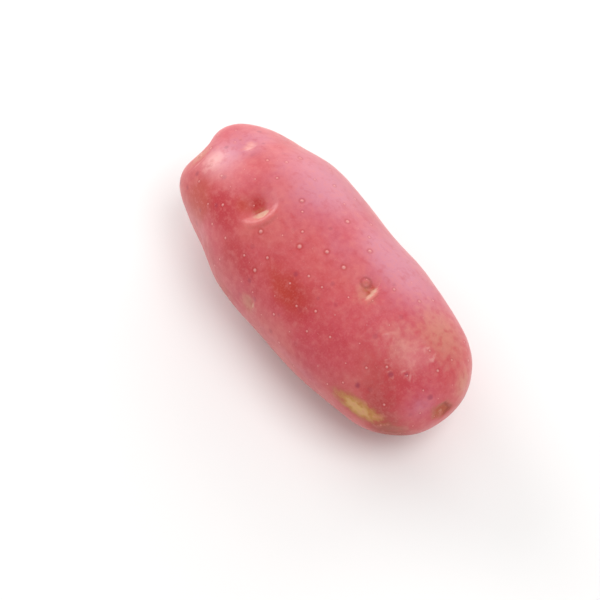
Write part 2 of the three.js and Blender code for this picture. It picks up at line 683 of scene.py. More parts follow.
# Slight swells and hollows along the two flanks and the stolon tip.
SWELLS = (
    Swell(Place(0.33, -109), 0.65 * MM, 14 * MM),
    Swell(Place(0.44, -109), 0.35 * MM, 10 * MM),
    Swell(Place(0.74, -109), -0.5 * MM, 12 * MM),
    Swell(Place(0.89, -109), 1.0 * MM, 11 * MM),
    Swell(Place(0.07, -109), -0.35 * MM, 9 * MM),
    Swell(Place(0.26, 71), 0.5 * MM, 15 * MM),
    Swell(Place(0.67, 71), 0.3 * MM, 15 * MM),
    Swell(Place(0.96, -15), -0.5 * MM, 11 * MM),
)

# The eyes run round the tuber in a spiral and crowd together towards the rose end.
EYES = (
    Eye(
        "browed eye",
        Place(0.321, -21),
        turn=18,
        brow_span=12.6 * MM,
        brow_back=5.2 * MM,
        brow_sag=2.4 * MM,
        wall=2.6 * MM,
        lip=0.2 * MM,
        drop=0.85 * MM,
        hollow=7.0 * MM,
        scar_long=5.6 * MM,
        scar_wide=2.5 * MM,
        tint=1.0,
    ),
    Eye(
        "middle eye",
        Place(0.67, 4),
        turn=6,
        brow_span=9 * MM,
        brow_back=4.4 * MM,
        brow_sag=0.7 * MM,
        brow_skew=0.38,
        wall=1.1 * MM,
        lip=0.18 * MM,
        drop=0.3 * MM,
        hollow=3.0 * MM,
        scar_long=8.2 * MM,
        scar_wide=1.5 * MM,
        scar_paleness=0.74,
        bud=1.2 * MM,
        tint=1.0,
    ),
    Eye(
        "rose tip eye",
        Place(0.066, -36),
        brow_span=12 * MM,
        lip=0.08 * MM,
        drop=0.3 * MM,
        bud=1.0 * MM,
        tint=0.25,
    ),
    Eye(
        "upper rose eye",
        Place(0.147, 9),
        brow_span=7 * MM,
        brow_back=2.3 * MM,
        lip=0.06 * MM,
        drop=0.18 * MM,
        hollow=3.2 * MM,
        tint=0.3,
    ),
    Eye("far rose eye", Place(0.138, 112), brow_span=11 * MM, scar_long=4 * MM, bud=0.9 * MM),
    Eye("low rose eye", Place(0.09, -140), brow_span=10 * MM, drop=0.4 * MM, scar_long=3 * MM, bud=0.9 * MM),
    Eye("near flank eye", Place(0.47, -78), brow_span=8 * MM, drop=0.25 * MM, scar_long=3 * MM, tint=0.4),
    Eye("far flank eye", Place(0.521, 122), brow_span=11 * MM, scar_long=4 * MM, bud=1.0 * MM),
    Eye("low middle eye", Place(0.69, -142), brow_span=9 * MM, scar_long=3 * MM, bud=0.8 * MM),
    Eye("far stolon eye", Place(0.923, 128), brow_span=7 * MM, drop=0.2 * MM, bud=0.8 * MM),
)

# Where the skin is redder, browner or paler than the ground colour, and where painted sheen, a painted
# highlight and painted shade are laid on it.
PATCHES = (
    Patch("near crimson by the rose end", Mask.CRIMSON, Place(0.25, -44), 24 * MM, 16 * MM),
    Patch("near crimson of the waist", Mask.CRIMSON, Place(0.40, -58), 26 * MM, 14 * MM, strength=0.7),
    Patch("near crimson of the middle", Mask.CRIMSON, Place(0.58, -46), 38 * MM, 18 * MM, strength=0.75),
    Patch("crimson of the stolon end", Mask.CRIMSON, Place(0.895, -33), 18 * MM, 26 * MM, strength=0.74),
    Patch("crimson of the near flank", Mask.CRIMSON, Place(0.29, -88), 24 * MM, 18 * MM, strength=0.8),
    Patch("orange of the rose end", Mask.ORANGE, Place(0.17, -60), 20 * MM, 20 * MM),
    Patch("orange of the middle", Mask.ORANGE, Place(0.55, -46), 28 * MM, 15 * MM, strength=0.85),
    Patch("deep red of the middle", Mask.HOLLOW, Place(0.582, -42), 27 * MM, 16 * MM, strength=0.44),
    Patch("brown of the middle eye", Mask.BROWN, Place(0.684, 0), 4.5 * MM, 5 * MM, strength=0.8),
    # Partly the skin's orange and partly painted shade on the underside of the stolon end.
    Patch("orange under the stolon end", Mask.ORANGE, Place(0.95, -118), 20 * MM, 40 * MM, strength=0.9),
    Patch("orange of the near waist", Mask.ORANGE, Place(0.38, -100), 16 * MM, 14 * MM, strength=0.7),
    # Partly the skin's paler pink and partly painted sheen: the pale shine of the far side, the top, the rose
    # end and the rims.
    Patch("pink of the far shoulder", Mask.PINK, Place(0.66, 40), 60 * MM, 34 * MM),
    Patch("pink of the far waist", Mask.PINK, Place(0.37, 32), 54 * MM, 42 * MM, strength=0.95),
    Patch("pink of the top", Mask.PINK, Place(0.545, 8), 34 * MM, 20 * MM, strength=0.5),
    Patch("pink of the rose end", Mask.PINK, Place(0.13, 5), 24 * MM, 36 * MM, strength=0.9),
    Patch("pink of the near flank", Mask.PINK, Place(0.68, -86), 50 * MM, 9 * MM, strength=0.35),
    Patch("pink by the stolon scar", Mask.PINK, Place(0.972, -34), 12 * MM, 20 * MM, strength=0.6),
    Patch("tan by the rose tip", Mask.TAN, Place(0.066, -36), 8 * MM, 13 * MM, strength=0.8),
    # Painted highlight on the rose end, laid on in a pale colour.
    Patch("pale skin of the rose end", Mask.PALE, Place(0.122, -25), 13 * MM, 16 * MM, strength=0.66),
    Patch("pale upper rose eye", Mask.PALE, Place(0.154, 9), 6 * MM, 9 * MM, -45, 0.85),
    Patch("smudge behind the upper rose eye", Mask.FRECKLE, Place(0.187, 4), 2.4 * MM, 6 * MM, strength=0.55),
    Patch("freckle near the upper rose eye", Mask.FRECKLE, Place(0.165, 21), 2 * MM, 2.6 * MM, strength=0.6),
    Patch("freckle of the rose end", Mask.FRECKLE, Place(0.114, 9), 2 * MM, 2 * MM, strength=0.6),
    Patch("freckle by the stolon end", Mask.FRECKLE, Place(0.847, -59), 2.8 * MM, 3.4 * MM, strength=1.0),
    Patch("orange of the browed eye", Mask.ORANGE, Place(0.30, -30), 11 * MM, 9 * MM, strength=0.7),
    Patch("tan round the middle eye", Mask.TAN, Place(0.69, 0), 11 * MM, 13 * MM, strength=0.75),
    Patch("tan of the near flank eye", Mask.TAN, Place(0.475, -80), 10 * MM, 12 * MM, strength=0.85),
    Patch("salmon of the top", Mask.TAN, Place(0.84, -3), 30 * MM, 26 * MM, strength=0.5),
    Patch("peach of the far shoulder", Mask.TAN, Place(0.87, 37), 34 * MM, 28 * MM, strength=0.72),
    # Painted shade: brown and dark red laid under the stolon end, low on the far side of its tip and low
    # along the near waist.
    Patch("brown under the stolon tip", Mask.BROWN, Place(0.955, -112), 16 * MM, 34 * MM, strength=0.6),
    Patch("dark skin under the stolon end", Mask.DARK, Place(0.955, -120), 22 * MM, 52 * MM, strength=1.0),
    Patch("dark skin of the stolon tip", Mask.DARK, Place(0.985, 120), 16 * MM, 18 * MM, strength=0.7),
    Patch("dark skin of the near waist", Mask.DARK, Place(0.31, -106), 40 * MM, 14 * MM, strength=0.55),
    Patch("tan of the far tip", Mask.TAN, Place(0.978, 58), 14 * MM, 11 * MM, strength=0.8),
    Patch("tan under the stolon end", Mask.TAN, Place(0.955, -94), 12 * MM, 10 * MM, strength=0.9),
    Patch("rubbed patch", Mask.SKINNED, Place(0.872, -80), 16.5 * MM, 7 * MM, turn=2),
)

# Healed nicks, all on the top of the stolon end.
NICKS = (
    RingMark(Place(0.897, 15), 1.7 * MM, 0.62, 0.4),
    RingMark(Place(0.908, -19), 1.3 * MM, 0.5, 0.9),
    RingMark(Place(0.883, -31), 1.0 * MM, 0.5, 0.6),
    RingMark(Place(0.86, -24), 0.9 * MM, 0.5, 0.5),
    RingMark(Place(0.815, -10), 1.5 * MM, 0.45, 0.3),
)


@dataclass(frozen=True)
class LenticelScatter:
    """Lenticels: breathing pores, each a raised dot of pale cork in a shallow dark ring.

    The larger ones have set places; the rest are scattered with a fixed seed, no nearer to each
    other than a smallest spacing. A lenticel's size multiplies its radii and its dot's height.

    Args:
        seed: Chooses the places and the sizes of the scattered ones.
        spacing: The least distance between two of them.
        density: The most that are tried per square metre.
        smallest: The least size of a scattered one.
        largest: The greatest size of a scattered one.
        dot_radius: Radius of the dot of cork.
        dot_height: Half the dot's thickness.
        dot_sink: How far the dot's middle lies under the skin, as a share of the ring's depth.
        ring_radius: Radius of the shallow ring.
        ring_depth: How far the ring sinks.
        lump_size: How wide the skin's slight lumps are.
        lump_height: How far they stand out.
        set_places: The place and the size of each larger one.
    """

    seed: int = 7
    spacing: float = 5.2 * MM
    density: float = 60000.0
    smallest: float = 0.2
    largest: float = 0.75
    dot_radius: float = 0.42 * MM
    dot_height: float = 0.12 * MM
    dot_sink: float = 0.8
    ring_radius: float = 1.15 * MM
    ring_depth: float = 0.08 * MM
    lump_size: float = 9 * MM
    lump_height: float = 0.35 * MM
    set_places: tuple[tuple[Place, float], ...] = (
        (Place(0.489, -18), 1.15),
        (Place(0.389, -32), 1.05),
        (Place(0.389, 6), 1.0),
        (Place(0.501, 24), 1.0),
        (Place(0.544, -5), 1.0),
        (Place(0.605, -3), 1.05),
        (Place(0.602, 23), 0.95),
        (Place(0.448, -54), 1.0),
        (Place(0.454, -41), 0.8),
        (Place(0.463, -9), 0.7),
        (Place(0.255, -42), 0.8),
        (Place(0.261, 34), 0.9),
        (Place(0.418, 1), 0.6),
        (Place(0.296, 4), 0.7),
        (Place(0.666, -55), 0.65),
        (Place(0.717, -45), 0.65),
        (Place(0.908, -19), 0.4),
    )

    def add_to(self, piece: bpy.types.Object, skin: Skin, cork: bpy.types.Material) -> bpy.types.Mesh:
        """Run the node tree on the skin's object.

        Args:
            piece: The object that holds the skin.
            skin: The same skin, for finding places on it.
            cork: The material for the whole result.

        Returns:
            The finished mesh.
        """
        spots = self._set_spots(skin)
        settings = {
            "Set Spots": ("NodeSocketObject", spots),
            "Seed": ("NodeSocketInt", self.seed),
            "Spacing": ("NodeSocketFloat", self.spacing),
            "Density": ("NodeSocketFloat", self.density),
            "Smallest Size": ("NodeSocketFloat", self.smallest),
            "Largest Size": ("NodeSocketFloat", self.largest),
            "Dot Radius": ("NodeSocketFloat", self.dot_radius),
            "Dot Height": ("NodeSocketFloat", self.dot_height),
            "Dot Sink": ("NodeSocketFloat", self.dot_sink),
            "Ring Radius": ("NodeSocketFloat", self.ring_radius),
            "Ring Depth": ("NodeSocketFloat", self.ring_depth),
            "Lump Size": ("NodeSocketFloat", self.lump_size),
            "Lump Height": ("NodeSocketFloat", self.lump_height),
            "Finish": ("NodeSocketMaterial", cork),
        }
        tree, identifiers = self._tree({name: kind for name, (kind, _) in settings.items()})
        modifier = piece.modifiers.new("lenticels", "NODES")
        modifier.node_group = tree
        for name, (_, value) in settings.items():
            modifier[identifiers[name]] = value
        graph = bpy.context.evaluated_depsgraph_get()
        made = bpy.data.meshes.new_from_object(piece.evaluated_get(graph))
        piece.modifiers.remove(modifier)
        bpy.data.objects.remove(spots)
        return made

    def _set_spots(self, skin: Skin) -> bpy.types.Object:
        """Make an object whose vertices are the larger lenticels.

        Args:
            skin: The skin that they lie on.

        Returns:
            The object, with each one's size in an attribute.
        """
        mesh = bpy.data.meshes.new("set_lenticels")
        places = [skin.frame_at(place).origin for place, _ in self.set_places]
        mesh.from_pydata([tuple(p) for p in places], [], [])
        sizes = mesh.attributes.new(SPOT_SIZE, "FLOAT", "POINT")
        sizes.data.foreach_set("value", [size for _, size in self.set_places])
        spots = bpy.data.objects.new("set_lenticels", mesh)
        bpy.context.scene.collection.objects.link(spots)
        return spots

    def _tree(self, kinds: dict[str, str]) -> tuple[bpy.types.NodeTree, dict[str, str]]:
        """Build the node tree.

        Args:
            kinds: The socket kind of each named input.

        Returns:
            The tree, and the identifier of each of its named inputs.
        """
        tree = bpy.data.node_groups.new("lenticel scatter", "GeometryNodeTree")
        for in_out in ("OUTPUT", "INPUT"):
            tree.interface.new_socket("Geometry", in_out=in_out, socket_type="NodeSocketGeometry")
        identifiers = {}
        for name, kind in kinds.items():
            socket = tree.interface.new_socket(name, in_out="INPUT", socket_type=kind)
            identifiers[name] = socket.identifier
        given = add_node(tree, "NodeGroupInput").outputs
        lumpy = self._lumps(tree, given)
        spots = self._spots(tree, given, lumpy)
        ringed = self._rings(tree, given, lumpy, spots)
        dots = self._dots(tree, given, lumpy, spots)
        joined = add_node(tree, "GeometryNodeJoinGeometry", {}, {0: [dots, ringed]})
        smooth = add_node(tree, "GeometryNodeSetShadeSmooth", {}, {"Geometry": joined})
        real = add_node(tree, "GeometryNodeRealizeInstances", {}, {"Geometry": smooth})
        finish = {"Geometry": real, "Material": given["Finish"]}
        dressed = add_node(tree, "GeometryNodeSetMaterial", {}, finish)
        add_node(tree, "NodeGroupOutput", {}, {"Geometry": dressed})
        return tree, identifiers

    def _lumps(self, tree: bpy.types.NodeTree, given: Any) -> Signal:
        """Add the slight unevenness of a grown surface.

        Args:
            tree: The tree to add to.
            given: The tree's inputs.

        Returns:
            The uneven skin.
        """
        place = add_node(tree, "GeometryNodeInputPosition")
        out = add_node(tree, "GeometryNodeInputNormal")
        scale = add_node(tree, "ShaderNodeMath", {"operation": "DIVIDE"}, {0: 1.0, 1: given["Lump Size"]})
        pattern = {"Vector": place, "Scale": scale, "Detail": 2.0}
        noise = add_node(tree, "ShaderNodeTexNoise", {}, pattern)
        centred = add_node(tree, "ShaderNodeMath", {"operation": "SUBTRACT"}, {0: noise, 1: NOISE_MIDDLE})
        scaled = {0: centred, 1: given["Lump Height"]}
        height = add_node(tree, "ShaderNodeMath", {"operation": "MULTIPLY"}, scaled)
        offset = add_node(tree, "ShaderNodeVectorMath", {"operation": "SCALE"}, {0: out, "Scale": height})
        moved = {"Geometry": given["Geometry"], "Offset": offset}
        return add_node(tree, "GeometryNodeSetPosition", {}, moved)

    def _spots(self, tree: bpy.types.NodeTree, given: Any, skin: Signal) -> Signal:
        """Gather the points where lenticels go.

        Args:
            tree: The tree to add to.
            given: The tree's inputs.
            skin: The skin that they lie on.

        Returns:
            The points, each with its size.
        """
        as_made = {"transform_space": "ORIGINAL"}
        set_ones = add_node(
            tree, "GeometryNodeObjectInfo", as_made, {"Object": given["Set Spots"]}
        ).outputs["Geometry"]
        set_points = add_node(tree, "GeometryNodeMeshToPoints", {"mode": "VERTICES"}, {0: set_ones})
        density = add_node(
            tree, "GeometryNodeInputNamedAttribute", {"data_type": "FLOAT"}, {"Name": SPOT_DENSITY}
        )
        scattered = add_node(
            tree,
            "GeometryNodeDistributePointsOnFaces",
            {"distribute_method": "POISSON"},
            {
                "Mesh": skin,
                "Distance Min": given["Spacing"],
                "Density Max": given["Density"],
                "Density Factor": density,
                "Seed": given["Seed"],
            },
        )
        to_set = add_node(
            tree, "GeometryNodeProximity", {"target_element": "POINTS"}, {0: set_points}
        ).outputs["Distance"]
        too_near = add_node(
            tree,
            "FunctionNodeCompare",
            {"data_type": "FLOAT", "operation": "LESS_THAN"},
            {0: to_set, 1: given["Spacing"]},
        )
        kept = add_node(
            tree,
            "GeometryNodeDeleteGeometry",
            {"domain": "POINT"},
            {"Geometry": scattered.outputs["Points"], "Selection": too_near},
        )
        size = add_node(
            tree,
            "FunctionNodeRandomValue",
            {"data_type": "FLOAT"},
            {2: given["Smallest Size"], 3: given["Largest Size"], "Seed": given["Seed"]},
        ).outputs[1]
        sized = add_node(
            tree,
            "GeometryNodeStoreNamedAttribute",
            {"data_type": "FLOAT", "domain": "POINT"},
            {"Geometry": kept, "Name": SPOT_SIZE, "Value": size},
        )
        return add_node(tree, "GeometryNodeJoinGeometry", {}, {0: [sized, set_points]})

    def _rings(self, tree: bpy.types.NodeTree, given: Any, skin: Signal, spots: Signal) -> Signal:
        """Sink a ring round each lenticel, and tell every vertex where its nearest one is.

        Args:
            tree: The tree to add to.
            given: The tree's inputs.
            skin: The skin to sink.
            spots: The lenticels.

        Returns:
            The skin with rings.
        """
        place = add_node(tree, "GeometryNodeInputPosition")
        out = add_node(tree, "GeometryNodeInputNormal")
        nearest = add_node(tree, "GeometryNodeSampleNearest", {"domain": "POINT"}, {"Geometry": spots})
        spot_place = add_node(
            tree,
            "GeometryNodeSampleIndex",
            {"data_type": "FLOAT_VECTOR", "domain": "POINT"},
            {"Geometry": spots, "Value": place, "Index": nearest},
        )
        named = add_node(tree, "GeometryNodeInputNamedAttribute", {"data_type": "FLOAT"}, {"Name": SPOT_SIZE})
        spot_size = add_node(
            tree,
            "GeometryNodeSampleIndex",
            {"data_type": "FLOAT", "domain": "POINT"},
            {"Geometry": spots, "Value": named, "Index": nearest},
        )
        apart = {0: place, 1: spot_place}
        offset = add_node(tree, "ShaderNodeVectorMath", {"operation": "SUBTRACT"}, apart)
        distance = add_node(
            tree, "ShaderNodeVectorMath", {"operation": "LENGTH"}, {0: offset}
        ).outputs["Value"]
        sized_ring = {0: spot_size, 1: given["Ring Radius"]}
        radius = add_node(tree, "ShaderNodeMath", {"operation": "MULTIPLY"}, sized_ring)
        slope = {
            "Value": distance,
            "From Min": 0.0,
            "From Max": radius,
            "To Min": given["Ring Depth"],
            "To Max": 0.0,
        }
        depth = add_node(tree, "ShaderNodeMapRange", {"interpolation_type": "SMOOTHSTEP"}, slope)
        inwards = add_node(tree, "ShaderNodeMath", {"operation": "MULTIPLY"}, {0: depth, 1: -1.0})
        sink = add_node(tree, "ShaderNodeVectorMath", {"operation": "SCALE"}, {0: out, "Scale": inwards})
        for kind, name, value in (
            ("FLOAT_VECTOR", SPOT_OFFSET, offset),
            ("FLOAT", SPOT_SIZE, spot_size),
        ):
            skin = add_node(
                tree,
                "GeometryNodeStoreNamedAttribute",
                {"data_type": kind, "domain": "POINT"},
                {"Geometry": skin, "Name": name, "Value": value},
            )
        return add_node(tree, "GeometryNodeSetPosition", {}, {"Geometry": skin, "Offset": sink})

    def _dots(self, tree: bpy.types.NodeTree, given: Any, skin: Signal, spots: Signal) -> Signal:
        """Raise the dot of cork in each lenticel.

        Args:
            tree: The tree to add to.
            given: The tree's inputs.
            skin: The skin that the dots stand on.
            spots: The lenticels.

        Returns:
            The dots, as instances.
        """
        out = add_node(tree, "GeometryNodeInputNormal")
        facing = add_node(
            tree,
            "GeometryNodeSampleNearestSurface",
            {"data_type": "FLOAT_VECTOR"},
            {"Mesh": skin, "Value": out},
        )
        turn = add_node(tree, "FunctionNodeAlignRotationToVector", {"axis": "Z"}, {"Vector": facing})
        round_ball = {"Radius": given["Dot Radius"], "Subdivisions": 2}
        ball = add_node(tree, "GeometryNodeMeshIcoSphere", {}, round_ball)
        flat_share = {0: given["Dot Height"], 1: given["Dot Radius"]}
        flatness = add_node(tree, "ShaderNodeMath", {"operation": "DIVIDE"}, flat_share)
        squash = add_node(tree, "ShaderNodeCombineXYZ", {}, {0: 1.0, 1: 1.0, 2: flatness})
        sink_share = {0: given["Ring Depth"], 1: given["Dot Sink"]}
        sunk = add_node(tree, "ShaderNodeMath", {"operation": "MULTIPLY"}, sink_share)
        down = add_node(tree, "ShaderNodeMath", {"operation": "MULTIPLY"}, {0: sunk, 1: -1.0})
        lower = add_node(tree, "ShaderNodeCombineXYZ", {}, {2: down})
        shape = {"Geometry": ball, "Scale": squash, "Translation": lower}
        dome = add_node(tree, "GeometryNodeTransform", {}, shape)
        named = add_node(tree, "GeometryNodeInputNamedAttribute", {"data_type": "FLOAT"}, {"Name": SPOT_SIZE})
        placed = {"Points": spots, "Instance": dome, "Rotation": turn, "Scale": named}
        return add_node(tree, "GeometryNodeInstanceOnPoints", {}, placed)


@dataclass(frozen=True)
class SkinLayer:
    """How one kind of marked skin, or of painted light or shade, is laid over what is under it.

    Args:
        mask: The kind of skin, or of painted light or shade.
        colour: Its sRGB hex colour.
        noise: The noise that frays its edge.
        raggedness: How far the noise moves the edge.
        low: The mask's value where the skin starts to show.
        high: The value where it shows fully.
        most: How strongly it shows there.
    """

    mask: Mask
    colour: str
    noise: Signal
    raggedness: float
    low: float
    high: float
    most: float


@dataclass(frozen=True)
class WashedPotatoSkin:
    """Thin cork skin of a red potato, washed and dry.

    The red is a stain in a skin a fifth of a millimetre thick over pale flesh, so it is mottled
    and slightly translucent. The skin is smooth but not polished: it gives a broad, soft shine
    that turns pale at grazing angles. Besides its colours it has these sizes and strengths.

    Args:
        smoothest: Roughness of the shiniest sound skin.
        roughest: Roughness of the dullest sound skin.
        cork_roughness: What bare cork and scars add to that.
        ior: Index of refraction of the skin.
        flesh_share: How much light passes through the skin into the flesh.
        flesh_reach: How far red, green and blue travel there, as shares of its depth.
        flesh_depth: How deep light goes.
        cloud_size: Width of the broad changes of red.
        mottle_size: Width of the mottle.
        fray_size: Width of the patches' ragged edges.
        streak_size: Width of the faint streaks.
        streak_stretch: Scale of the streaks' noise per axis: under 1 draws them out along it.
        freckle_size: Distance between freckles.
        grain_size: Width of the fine grain.
        pore_strength: How strongly the grain roughens the surface.
        pore_depth: How deep it is.
        ring_radius: Radius of a lenticel's dark ring, partly painted shade in its shallow dent.
        ring_strength: How strongly it shows.
        dot_radius: Radius of a lenticel's pale dot, partly a painted highlight.
        dot_strength: How strongly it shows.
        dot_edge: How strongly the dot's edge catches the light.
        dot_height: How far the dot seems to stand out.
    """

    # Some colours stand in for light: the pink is partly painted sheen, the cream partly a painted highlight,
    # the lip colour a painted highlight and the dark colour painted shade; the deep red and the brown are
    # partly painted shade, and the dot colour partly a painted highlight.
    crimson: str = "#be343c"
    red: str = "#ca4c57"
    salmon: str = "#d06462"
    orange: str = "#bf412b"
    pink: str = "#cb7d90"
    pale: str = "#d87a78"
    deep_red: str = "#b0211c"
    dark: str = "#912c20"
    freckle: str = "#98304a"
    tan: str = "#cd8a72"
    golden: str = "#c68f48"
    bare: str = "#dcb070"
    bruise: str = "#b3623f"
    cork: str = "#d9ac93"
    lip_highlight: str = "#dc8a82"
    brown: str = "#ab5a32"
    cream_and_highlight: str = "#e9aaa2"
    dot: str = "#ea9c99"
    smoothest: float = 0.25
    roughest: float = 0.41
    cork_roughness: float = 0.25
    ior: float = 1.45
    flesh_share: float = 0.12
    flesh_reach: tuple[float, float, float] = (1.0, 0.35, 0.2)
    flesh_depth: float = 0.9 * MM
    cloud_size: float = 24 * MM
    mottle_size: float = 7 * MM
    fray_size: float = 2.2 * MM
    streak_size: float = 1.6 * MM
    streak_stretch: tuple[float, float, float] = (1.0, 0.22, 0.22)
    freckle_size: float = 5 * MM
    grain_size: float = 0.55 * MM
    pore_strength: float = 0.12
    pore_depth: float = 0.12 * MM
    ring_radius: float = 1.15 * MM
    ring_strength: float = 0.45
    dot_radius: float = 0.66 * MM
    dot_strength: float = 0.75
    dot_edge: float = 0.5
    dot_height: float = 0.1 * MM

    def material(self) -> bpy.types.Material:
        """Build the material.

        Returns:
            The finished material.
        """
        material = bpy.data.materials.new("washed_potato_skin")
        material.use_nodes = True
        tree = material.node_tree
        tree.nodes.clear()
        place = add_node(tree, "ShaderNodeTexCoord").outputs["Object"]
        layers = (
            (self.cloud_size, 2.0),
            (self.mottle_size, 4.0),
            (self.fray_size, 4.0),
            (self.grain_size, 2.0),
        )
        clouds, mottle, fray, grain = (
            add_node(tree, "ShaderNodeTexNoise", {}, {"Vector": place, "Scale": 1.0 / size, "Detail": detail})
            for size, detail in layers
        )
        colour = self._ground(tree, place, clouds, mottle)
        colour = self._patches(tree, colour, mottle, fray)
        colour = self._fine_marks(tree, colour, place, fray, grain)
        colour, height = self._lenticels(tree, colour)
        pores = {"Strength": self.pore_strength, "Distance": self.pore_depth, "Height": grain}
        porous = add_node(tree, "ShaderNodeBump", {}, pores)
        dots = {"Strength": self.dot_edge, "Distance": self.dot_height, "Height": height, "Normal": porous}
        dotted = add_node(tree, "ShaderNodeBump", {}, dots)
        skin = add_node(
            tree,
            "ShaderNodeBsdfPrincipled",
            {"subsurface_method": "RANDOM_WALK"},
            {
                "Base Color": colour,
                "Roughness": self._roughness(tree, mottle),
                "IOR": self.ior,
                "Subsurface Weight": self.flesh_share,
                "Subsurface Radius": self.flesh_reach,
                "Subsurface Scale": self.flesh_depth,
                "Normal": dotted,
            },
        )
        add_node(tree, "ShaderNodeOutputMaterial", {}, {"Surface": skin})
        return material

    def _roughness(self, tree: bpy.types.NodeTree, mottle: Signal) -> Signal:
        """Sound skin has a soft shine, and bare cork and scars have almost none.

        Args:
            tree: The tree to add to.
            mottle: Noise of a few millimetres.

        Returns:
            The roughness.
        """
        ends = {"Value": mottle, "To Min": self.smoothest, "To Max": self.roughest}
        rough = add_node(tree, "ShaderNodeMapRange", {}, ends)
        for mask in (Mask.LIP, Mask.SCAR, Mask.BROWN, Mask.SKINNED):
            marked = add_node(tree, "ShaderNodeAttribute", {"attribute_name": mask.value}).outputs["Fac"]
            added = {0: marked, 1: self.cork_roughness, 2: rough}
            rough = add_node(tree, "ShaderNodeMath", {"operation": "MULTIPLY_ADD"}, added)
        return rough

    def _lay_over(
        self, tree: bpy.types.NodeTree, colour: Any, code: str, share: Signal
    ) -> bpy.types.NodeSocket:
        """Lay another colour over the skin so far.

        Args:
            tree: The tree to add to.
            colour: The colour so far, as a signal or as linear values.
            code: The other colour, in sRGB hex.
            share: How much of it shows.

        Returns:
            The colour.
        """
        inputs = {0: share, 6: colour, 7: linear_colour(code)}
        return add_node(tree, "ShaderNodeMix", {"data_type": "RGBA"}, inputs).outputs[2]

    def _stain(
        self,
        tree: bpy.types.NodeTree,
        colour: Any,
        stains: tuple[tuple[str, Signal, float, float, float], ...],
    ) -> Any:
        """Stain the skin where a noise runs high or low.

        Args:
            tree: The tree to add to.
            colour: The colour so far.
            stains: For each stain its sRGB hex colour, its noise, the noise's values where it starts
                to show and where it shows fully, and how strongly it shows there.

        Returns:
            The colour.
        """
        for code, noise, low, high, most in stains:
            limits = {"Value": noise, "From Min": low, "From Max": high, "To Max": most}
            share = add_node(tree, "ShaderNodeMapRange", {}, limits)
            colour = self._lay_over(tree, colour, code, share)
        return colour

    def _ground(self, tree: bpy.types.NodeTree, place: Signal, clouds: Signal, mottle: Signal) -> Signal:
        """The mottled red of plain skin.

        Args:
            tree: The tree to add to.
            place: The coordinates that patterns read.
            clouds: Broad noise.
            mottle: Finer noise.

        Returns:
            The colour.
        """
        stretch = {"Vector": place, "Scale": self.streak_stretch}
        stretched = add_node(tree, "ShaderNodeMapping", {}, stretch)
        thin = {"Vector": stretched, "Scale": 1.0 / self.streak_size, "Detail": 3.0}
        streaks = add_node(tree, "ShaderNodeTexNoise", {}, thin)
        stains = (
            (self.salmon, clouds, 0.38, 0.62, 1.0),
            (self.crimson, mottle, 0.45, 0.7, 0.35),
            (self.salmon, streaks, 0.5, 0.75, 0.3),
        )
        return self._stain(tree, linear_colour(self.red), stains)

    def _masked(self, tree: bpy.types.NodeTree, layer: SkinLayer) -> Signal:
        """How strongly a marked kind of skin shows, with a ragged edge.

        Args:
            tree: The tree to add to.
            layer: The kind of skin and its edge.

        Returns:
            The strength.
        """
        mask_name = {"attribute_name": layer.mask.value}
        marked = add_node(tree, "ShaderNodeAttribute", mask_name).outputs["Fac"]
        shift = {0: layer.noise, 1: layer.raggedness, 2: -NOISE_MIDDLE * layer.raggedness}
        fray = add_node(tree, "ShaderNodeMath", {"operation": "MULTIPLY_ADD"}, shift)
        frayed = add_node(tree, "ShaderNodeMath", {"operation": "ADD"}, {0: marked, 1: fray})
        limits = {"Value": frayed, "From Min": layer.low, "From Max": layer.high, "To Max": layer.most}
        return add_node(tree, "ShaderNodeMapRange", {"interpolation_type": "SMOOTHSTEP"}, limits)

    def _patches(
        self, tree: bpy.types.NodeTree, colour: Signal, mottle: Signal, fray: Signal
    ) -> Signal:
        """Lay every marked kind of skin, and the painted light and shade, over the ground colour, the
        broadest first.

        Args:
            tree: The tree to add to.
            colour: The ground colour.
            mottle: The noise that frays the edges of broad patches.
            fray: The noise that frays the edges of small ones.

        Returns:
            The colour.
        """
        # Painted sheen rides on the pink layer, painted highlights on the pale and lip layers, painted shade
        # on the dark layer, and some painted shade on the hollow and brown layers.
        layers = (
            SkinLayer(Mask.PINK, self.pink, mottle, 0.6, 0.0, 1.05, 0.88),
            SkinLayer(Mask.CRIMSON, self.crimson, mottle, 0.9, 0.1, 0.9, 0.85),
            SkinLayer(Mask.ORANGE, self.orange, mottle, 0.6, 0.1, 0.9, 0.75),
            SkinLayer(Mask.TAN, self.tan, fray, 0.65, 0.15, 0.95, 0.8),
            SkinLayer(Mask.PALE, self.cream_and_highlight, fray, 0.5, 0.2, 0.9, 0.9),
            SkinLayer(Mask.HOLLOW, self.deep_red, fray, 0.5, 0.05, 0.9, 0.92),
            SkinLayer(Mask.LIP, self.lip_highlight, fray, 0.4, 0.15, 0.95, 0.6),
            SkinLayer(Mask.BROWN, self.brown, fray, 0.9, 0.25, 0.9, 0.8),
            SkinLayer(Mask.DARK, self.dark, fray, 0.5, 0.2, 1.0, 0.7),
            SkinLayer(Mask.FRECKLE, self.freckle, fray, 0.5, 0.2, 1.0, 0.75),
            SkinLayer(Mask.SKINNED, self.bruise, fray, 0.9, 0.1, 0.75, 0.75),
            SkinLayer(Mask.SKINNED, self.golden, fray, 0.9, 0.3, 1.0, 0.9),
            SkinLayer(Mask.SKINNED, self.bare, fray, 1.0, 0.85, 1.3, 0.8),
            SkinLayer(Mask.SCAR, self.cork, fray, 0.9, 0.3, 0.9, 0.9),
        )
        for layer in layers:
            colour = self._lay_over(tree, colour, layer.colour, self._masked(tree, layer))
        return colour

